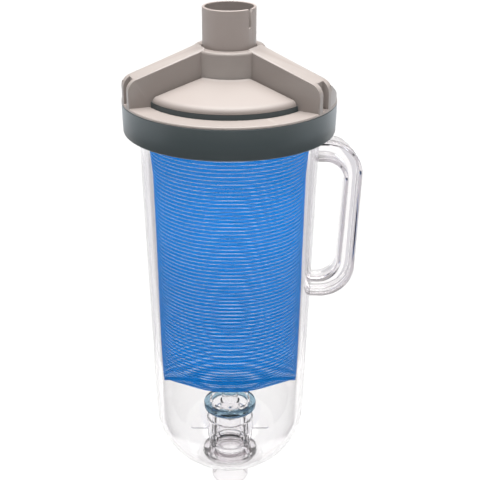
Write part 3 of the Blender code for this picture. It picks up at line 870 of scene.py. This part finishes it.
def bag_rings(sides):
    """The bag's rings from its mouth to its sewn end, round above BAG_ROUND_Z and flattening below it.

    A point is (half width, half depth, height, how far down the flattening part it is, from 0 to 1).
    """
    rings = []
    inset, spacing, flat_rings = 0.2, 3.0, 36
    for i in range(int((BAG_TOP_Z - BAG_ROUND_Z) / spacing) + 1):
        z = BAG_TOP_Z - spacing * i
        radius = bag_radius(z) - inset
        rings.append([(radius, radius, z, 0.0) for _ in range(sides)])
    for step in range(1, flat_rings + 1):
        down = math.sin(0.5 * math.pi * step / flat_rings)
        ring = []
        for side in range(sides):
            x_part = math.cos(2 * math.pi * side / sides)
            end_z = bag_end_z((BAG_RADIUS - inset) * x_part) + SEAM_HEIGHT
            z = BAG_ROUND_Z + (end_z - BAG_ROUND_Z) * down
            radius = bag_radius(z) - inset
            ring.append((radius, max(radius * math.sqrt(1 - down * down), 0.9), z, down))
        rings.append(ring)
    return rings


def make_bag():
    """The bag as one sheet: gathers under its hem, soft hollows, and puckers above its sewn end."""
    sides = 192
    shape = bmesh.new()
    rings = []
    for ring in bag_rings(sides):
        made = []
        for side, (wide, deep, z, down) in enumerate(ring):
            angle = 2 * math.pi * side / sides
            from_top, from_end = BAG_TOP_Z - z, max(0.0, z - BAG_END_Z)
            halfway = math.sin(math.pi * min(1.0, from_top / HOLLOW_LENGTH)) ** 2
            gather = GATHER * math.cos(48 * angle) * math.exp(-from_top / 14.0)
            hollow = HOLLOW * abs(math.sin(5 * angle + 0.7)) * halfway
            pucker = PUCKER * math.sin(34 * angle + 1.1) * math.exp(-from_end / 9.0) * (1 - down**6)
            pull = gather - hollow + pucker
            x = (wide + pull - GATHER) * math.cos(angle)
            y = (deep + pull * (1 - 0.8 * down)) * math.sin(angle)
            made.append(shape.verts.new(Vector((x, y, z)) * MM))
        rings.append(made)
    for upper, lower in zip(rings, rings[1:]):
        for i in range(sides):
            shape.faces.new((upper[i - 1], upper[i], lower[i], lower[i - 1]))
    bag = finished(shape, "bag_cloth", 180)
    return place(bag, "canister", "blue_mesh", "mesh_bag")


def make_bag_hem():
    """The sewn band round the bag's mouth."""
    (inner, outer), (low, top) = HEM_RADII, HEM_Z
    corners = [(outer, low), (outer, top), (inner, top), (inner, low)]
    outline = rounded([(radius, z, 0.8) for radius, z in corners], steps=4)
    hem = turned("bag_hem_band", outline, steps=144)
    return place(hem, "canister", "blue_mesh", "bag_top_hem", material="blue_hem")


def make_bag_seam():
    """The folded and sewn end, a soft strip that follows the end's sag."""
    half, steps = BAG_RADIUS - 0.9, 64
    sections = []
    for i in range(steps + 1):
        x = half * (2 * i / steps - 1)
        low = bag_end_z(x)
        end = 0.45 if i in (0, steps) else 1.0
        thick = (0.95 + 0.12 * math.sin(i * 1.9)) * end
        foot, head = low + 0.2, low + SEAM_HEIGHT
        corners = [(-thick, foot), (thick, foot), (thick, head), (-thick, head)]
        section = rounded([(y, z, 0.45 * end) for y, z in corners], steps=3)
        sections.append([(x, y, z) for y, z in section])
    seam = swept("bag_end_seam", sections)
    return place(seam, "canister", "blue_mesh", "bag_bottom_seam", material="blue_hem")


def make_spigot():
    """The hose spigot and the flange that it turns on."""
    outline = rounded(
        [
            (SPIGOT_TIP_RADIUS, 0.0, 0.9),
            (SPIGOT_TIP_RADIUS + 0.9, 18.0, 0),
            (SPIGOT_RADIUS, 18.4, 0),
            (SPIGOT_RADIUS, SPIGOT_FLANGE_Z[0], 0),
            (SPIGOT_FLANGE_RADIUS, SPIGOT_FLANGE_Z[0], 0.5),
            (SPIGOT_FLANGE_RADIUS, SPIGOT_FLANGE_Z[1], 0.6),
            (SPIGOT_BORE, SPIGOT_FLANGE_Z[1], 0.6),
            (SPIGOT_BORE, 0.0, 0.6),
        ],
        steps=4,
    )
    spigot = turned("spigot_tube", outline, steps=120)
    return place(spigot, "outlet", "clear_plastic", "outlet_spigot", material="clear_spigot")


def make_guard_cage():
    """The guard's cup and windowed drum, with two thumb tabs and four splayed legs."""
    top_z = GUARD_RING_Z[1] + 1.3
    inside, outside = DRUM_RADII
    outline = [
        (22.0, 67.6),
        (22.0, 53.0),
        (20.2, 40.0),
        (outside, 40.0),
        (outside, 33.0),
        (inside, 33.0),
        (inside, 74.0),
        (17.2, 77.0),
        (17.2, top_z),
        (19.2, top_z),
        (19.2, GUARD_RING_Z[0] - CLEARANCE),
        (21.0, GUARD_RING_Z[0] - CLEARANCE),
        (21.0, 76.6),
        (outside, 73.0),
        (outside, 42.6),
        (18.4, 42.6),
        (20.3, 53.0),
        (20.3, 68.0),
        (21.6, 68.0),
    ]
    cage = turned("guard_cage_body", outline, steps=96)
    fins = []
    for i, tab in enumerate(TAB_HEADINGS):
        fin = rounded([(21.0, 68.0, 0), (34.0, 68.0, 2.0), (38.0, 53.0, 2.0), (21.0, 53.0, 0)], steps=4)
        fins.append(slab(f"tab_{i}", fin, 1.2, upright(tab)))
    for i, leg in enumerate(LEG_HEADINGS):
        rib = [(19.4, 56.0), (23.4, 54.0), (29.5, 32.0), (26.5, 32.0), (19.0, 42.0)]
        fins.append(slab(f"leg_{i}", rib, 1.5, upright(leg)))
    cut_or_join(cage, fins, "UNION")
    cuts = []
    reach_radius = outside + 1.2
    for i, window in enumerate(WINDOW_HEADINGS):
        cutter = block(f"window_{i}", WINDOW_SIZE, (0, -outside, WINDOW_MIDDLE_Z), heading(window))
        reach = [(0, 80), (reach_radius, 80), (reach_radius, 40), (0, 40)]
        cut_or_join(cutter, [turned(f"reach_{i}", reach, closed=False)], "INTERSECT")
        cuts.append(cutter)
    cut_or_join(cage, cuts, "DIFFERENCE")
    crisp(cage, weighted=False)
    return place(cage, "canister", "clear_plastic", "guard_cage", material="clear_guard")


def make_guard_ring():
    """The smoky ring that rests on the drum."""
    (inner, outer), (low, top) = GUARD_RING_RADII, GUARD_RING_Z
    outline = rounded([(inner, low, 0.6), (outer, low, 0.8), (outer, top, 1.2), (inner, top, 0.8)], steps=4)
    ring = turned("guard_ring_band", outline, steps=96)
    return place(ring, "canister", "smoke_blue_plastic", "guard_ring")


CARRIED_OVER = {
    "guard_post": "clear_guard",
    "bag_ring": "white_plastic",
    "lid_dome": "slate_plastic",
    "lid_seal": "black_rubber",
    "cuff_seal": "black_rubber",
    "spigot_seal": "clear_guard",
}


def dress_cad_nodes():
    """Puts the finished materials on the CAD nodes that stay in view."""
    for node, material in CARRIED_OVER.items():
        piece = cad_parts[node]
        for slot in piece.material_slots:
            slot.material = MATERIALS[material]


# ---------------------------------------------------------------- studio


def make_camera():
    """The camera, a little above the object and looking down at it."""
    lens = bpy.data.cameras.new("photo_camera")
    lens.lens = LENS
    lens.sensor_width = SENSOR_WIDTH
    lens.shift_x = SHIFT_X
    camera = bpy.data.objects.new("photo_camera", lens)
    camera.location = CAMERA_PLACE
    camera.rotation_euler = (math.radians(90 - CAMERA_PITCH), 0.0, 0.0)
    bpy.context.scene.collection.objects.link(camera)
    bpy.context.scene.camera = camera


def make_floor():
    """A wide painted floor well below the hanging canister."""
    shape = bmesh.new()
    bmesh.ops.create_circle(shape, cap_ends=True, segments=96, radius=14.0)
    floor = finished(shape, "studio_floor")
    floor.location.z = STUDIO_FLOOR_Z
    m = Recipe("floor_paint")
    shade = m.blend(m.noise(2.0), [FLOOR_SHADE] * 3, [FLOOR_SHADE * 1.02] * 3)
    paint = m.add("BsdfPrincipled", None, Base_Color=shade, Roughness=0.9)
    paint.inputs["Specular IOR Level"].default_value = 0.1
    floor.data.materials.append(m.finish(paint.outputs[0]))


def lit_card(name, shape, colour, strength, seen_by, after_gloss=False):
    """A glowing card that lights nothing. Only clear plastic ("transmission") or gloss ("glossy") sees it.

    With after_gloss only light that was also reflected inside the clear plastic meets the card.
    """
    m = Recipe(name + "_card")
    card = finished(shape, name)
    glow = m.add("Emission", None, Color=(*colour, 1.0), Strength=strength).outputs[0]
    if after_gloss:
        reflected = m.math("MULTIPLY", m.add("LightPath").outputs["Glossy Depth"], 1.0, clamp=True)
        passing = m.add("BsdfTransparent", None, Color=(1.0, 1.0, 1.0, 1.0)).outputs[0]
        mix = m.add("MixShader", None, Fac=reflected)
        m.tree.links.new(passing, mix.inputs[1])
        m.tree.links.new(glow, mix.inputs[2])
        glow = mix.outputs[0]
    card.data.materials.append(m.finish(glow))
    for kind in ("camera", "diffuse", "shadow", "glossy", "transmission"):
        setattr(card, "visible_" + kind, kind == seen_by)
    return card


def flat_card(name, size, colour, strength, seen_by, place_at, turn):
    """A flat card with its middle at place_at, turned by angles in degrees."""
    shape = bmesh.new()
    bmesh.ops.create_grid(shape, x_segments=1, y_segments=1, size=0.5)
    bmesh.ops.scale(shape, vec=(*size, 1.0), verts=shape.verts)
    card = lit_card(name, shape, colour, strength, seen_by)
    card.location = place_at
    card.rotation_euler = [math.radians(angle) for angle in turn]


def ring_card(name, radius, heights, span, colour, strength, seen_by, after_gloss=False):
    """A curved strip round the object, from one heading to another; heading 0 is the front."""
    steps = 40
    shape = bmesh.new()
    rows = []
    for z in heights:
        headings = [span[0] + (span[1] - span[0]) * i / steps for i in range(steps + 1)]
        rows.append([shape.verts.new(polar(radius / MM, degrees, z / MM)) for degrees in headings])
    for i in range(steps):
        shape.faces.new((rows[0][i], rows[0][i + 1], rows[1][i + 1], rows[1][i]))
    lit_card(name, shape, colour, strength, seen_by, after_gloss)


def make_cards():
    """Grey flags that draw the clear pieces' edges, dark screens against glare, and lights for gloss."""
    grey = (WARM_WHITE, FLAG_LIGHT, "transmission")
    for side in (-1, 1):
        where = (side * (FLAG_EDGE + FLAG_SIZE[0] / 2), 0.8, 0.42)
        flat_card(f"flag_{side}", FLAG_SIZE, *grey, where, (90, 0, side * -12))
    dark = (COOL_WHITE, SCREEN_LIGHT, "glossy")
    inner_dark = (COOL_WHITE, INNER_SCREEN_LIGHT, "transmission")
    low, middle, top = SCREEN_LEVELS
    ring_card("low_screen", SCREEN_RADIUS, (low, middle), (-120, 120), *dark)
    ring_card("high_screen", SCREEN_RADIUS, (middle, top), (-60, 60), *dark)
    ring_card("inner_screen", INNER_SCREEN_RADIUS, (low, top), (-120, 120), *inner_dark, after_gloss=True)
    for name, span in (("side_light_left", (-160, -68)), ("side_light_right", (68, 160))):
        ring_card(name, SCREEN_RADIUS, (middle + 0.005, top), span, COOL_WHITE, SIDE_LIGHT, "glossy")
    white = ((1.0, 1.0, 1.0), BACK_LIGHT, "glossy")
    flat_card("back_light", (2.0, 0.6), *white, (0.0, 1.16, 1.25), (50, 0, 0))


def make_fill_lights(lit):
    """Soft spots that light only the bag, whose top the lid would leave dark, and its sewn end."""
    receivers = bpy.data.collections.new("fill_receivers")
    for piece in lit:
        receivers.objects.link(piece)
    for level, (aim_z, power) in enumerate(FILL_AIMS):
        for turn in (0, 90, 180, 270):
            lamp = bpy.data.lights.new(f"fill_{level}_{turn}", "SPOT")
            lamp.energy = power
            lamp.spot_size = math.radians(FILL_SPREAD)
            lamp.spot_blend = 1.0
            lamp.shadow_soft_size = FILL_SOFTNESS
            spot = bpy.data.objects.new(f"fill_{level}_{turn}", lamp)
            spot.location = polar(600, turn, 200)
            aim = Vector((0, 0, aim_z)) - spot.location
            spot.rotation_euler = aim.to_track_quat("-Z", "Y").to_euler()
            spot.light_linking.receiver_collection = receivers
            bpy.context.scene.collection.objects.link(spot)


def make_world():
    """A dim room, brighter as clear plastic sees it, under a wide, soft overhead light bank."""
    world = bpy.data.worlds.new("studio")
    bpy.context.scene.world = world
    world.use_nodes = True
    tree = world.node_tree
    tree.nodes.clear()
    out = tree.nodes.new("ShaderNodeOutputWorld")
    sky = tree.nodes.new("ShaderNodeBackground")
    where = tree.nodes.new("ShaderNodeTexCoord")
    split = tree.nodes.new("ShaderNodeSeparateXYZ")
    fade = tree.nodes.new("ShaderNodeMapRange")
    fade.interpolation_type = "SMOOTHSTEP"
    fade.inputs["From Min"].default_value = OVERHEAD_EDGE[0]
    fade.inputs["From Max"].default_value = OVERHEAD_EDGE[1]
    fade.inputs["To Max"].default_value = OVERHEAD_LIGHT
    path = tree.nodes.new("ShaderNodeLightPath")
    room = tree.nodes.new("ShaderNodeMapRange")
    room.inputs["To Min"].default_value = ROOM_LIGHT
    room.inputs["To Max"].default_value = ROOM_LIGHT_IN_CLEAR
    tree.links.new(path.outputs["Is Transmission Ray"], room.inputs["Value"])
    tree.links.new(room.outputs[0], fade.inputs["To Min"])
    tree.links.new(where.outputs["Generated"], split.inputs[0])
    tree.links.new(split.outputs["Z"], fade.inputs["Value"])
    tree.links.new(fade.outputs[0], sky.inputs["Strength"])
    tree.links.new(sky.outputs[0], out.inputs[0])
    sky.inputs["Color"].default_value = (1.0, 0.995, 0.99, 1.0)


def set_view():
    """Plain colours, with no look added."""
    view = bpy.context.scene.view_settings
    view.view_transform = "Standard"
    view.look = "None"
    view.exposure = 0.0
    view.gamma = 1.0


make_camera()
make_floor()
make_cards()
make_world()
set_view()

make_canister()
make_handle()
make_collar()
make_grip_frame()
for panel_node, panel_arms in (
    ("panel_front", (ARM_HEADINGS[0], ARM_HEADINGS[1])),
    ("panel_right", (ARM_HEADINGS[1], ARM_HEADINGS[2])),
    ("panel_left", (ARM_HEADINGS[2] - 360, ARM_HEADINGS[0])),
):
    make_panel(panel_node, panel_arms)
make_cuff()
bag_piece = make_bag()
hem_piece = make_bag_hem()
seam_piece = make_bag_seam()
make_spigot()
make_guard_cage()
make_guard_ring()
dress_cad_nodes()

make_fill_lights([bag_piece, hem_piece, seam_piece])
